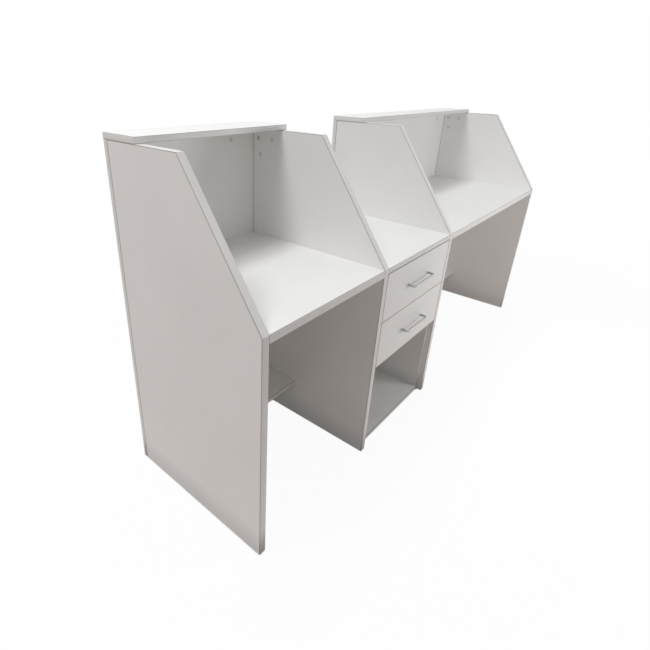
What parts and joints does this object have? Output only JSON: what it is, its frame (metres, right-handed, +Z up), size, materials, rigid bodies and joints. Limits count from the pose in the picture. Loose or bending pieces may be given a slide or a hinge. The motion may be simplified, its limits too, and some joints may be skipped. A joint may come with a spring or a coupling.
{
  "type": "reception desk",
  "caption": "White board reception desk: narrow and wide user stations with sloped side panels and raised visitor counters, joined by a drawer pedestal with an open cubby.",
  "frame": {"origin": "on the floor under the middle of the whole desk, handles included", "axes": "+X along the desk to the seated user's right, +Y towards the visitor, +Z up"},
  "size_m": [2.3, 0.631, 1.1653],
  "materials": {
    "melamine_board": "white melamine-faced particle board with white edge bands, satin",
    "drawer_board": "white melamine-faced particle board, matt",
    "hardboard": "white-faced hardboard, matt",
    "slide_steel": "zinc-plated cold-rolled steel",
    "satin_nickel": "satin nickel plate",
    "cam_zinc": "die-cast zinc"
  },
  "bodies": {
    "root": {"left_end_panel": "melamine_board", "left_divider_panel": "melamine_board", "right_divider_panel": "melamine_board", "right_end_panel": "melamine_board", "left_desktop": "melamine_board", "right_desktop": "melamine_board", "middle_top": "melamine_board", "left_front_panel": "melamine_board", "right_front_panel": "melamine_board", "middle_front_panel": "melamine_board", "left_counter_shelf": "melamine_board", "right_counter_shelf": "melamine_board", "left_foot_ledge": "melamine_board", "right_foot_ledge": "melamine_board", "left_ledge_riser": "melamine_board", "right_ledge_riser": "melamine_board", "pedestal_left_side": "melamine_board", "pedestal_right_side": "melamine_board", "pedestal_bottom": "melamine_board", "pedestal_shelf": "melamine_board", "upper_slide_outer_left": "slide_steel", "upper_slide_outer_right": "slide_steel", "lower_slide_outer_left": "slide_steel", "lower_slide_outer_right": "slide_steel", "left_end_shelf_cam_near": "cam_zinc", "left_end_shelf_cam_far": "cam_zinc", "left_end_front_panel_cam": "cam_zinc", "left_divider_shelf_cam_near": "cam_zinc", "left_divider_shelf_cam_far": "cam_zinc", "left_divider_front_panel_cam": "cam_zinc", "right_divider_shelf_cam_near": "cam_zinc", "right_divider_shelf_cam_far": "cam_zinc", "right_divider_front_panel_cam": "cam_zinc", "right_end_shelf_cam_near": "cam_zinc", "right_end_shelf_cam_far": "cam_zinc", "right_end_front_panel_cam": "cam_zinc", "left_front_shelf_cam_left": "cam_zinc", "left_front_shelf_cam_right": "cam_zinc", "right_front_shelf_cam_left": "cam_zinc", "right_front_shelf_cam_right": "cam_zinc"},
    "upper_drawer": {"upper_drawer_front": "melamine_board", "upper_drawer_left_side": "drawer_board", "upper_drawer_right_side": "drawer_board", "upper_drawer_back": "drawer_board", "upper_drawer_bottom": "hardboard", "upper_handle": "satin_nickel", "upper_slide_inner_left": "slide_steel", "upper_slide_inner_right": "slide_steel"},
    "lower_drawer": {"lower_drawer_front": "melamine_board", "lower_drawer_left_side": "drawer_board", "lower_drawer_right_side": "drawer_board", "lower_drawer_back": "drawer_board", "lower_drawer_bottom": "hardboard", "lower_handle": "satin_nickel", "lower_slide_inner_left": "slide_steel", "lower_slide_inner_right": "slide_steel"},
    "upper_slide_members": {"upper_slide_middle_left": "slide_steel", "upper_slide_middle_right": "slide_steel"},
    "lower_slide_members": {"lower_slide_middle_left": "slide_steel", "lower_slide_middle_right": "slide_steel"}
  },
  "joints": [
    {"name": "upper_drawer_travel", "type": "slide", "parent": "root", "child": "upper_drawer", "axis": [0, -1, 0], "range_m": [0, 0.4]},
    {"name": "lower_drawer_travel", "type": "slide", "parent": "root", "child": "lower_drawer", "axis": [0, -1, 0], "range_m": [0, 0.4]},
    {"name": "upper_slide_travel", "type": "slide", "parent": "root", "child": "upper_slide_members", "axis": [0, -1, 0], "range_m": [0, 0.2]},
    {"name": "lower_slide_travel", "type": "slide", "parent": "root", "child": "lower_slide_members", "axis": [0, -1, 0], "range_m": [0, 0.2]}
  ],
  "couplings": [
    {"joint": "upper_slide_travel", "follows": "upper_drawer_travel", "ratio": 0.5},
    {"joint": "lower_slide_travel", "follows": "lower_drawer_travel", "ratio": 0.5}
  ]
}
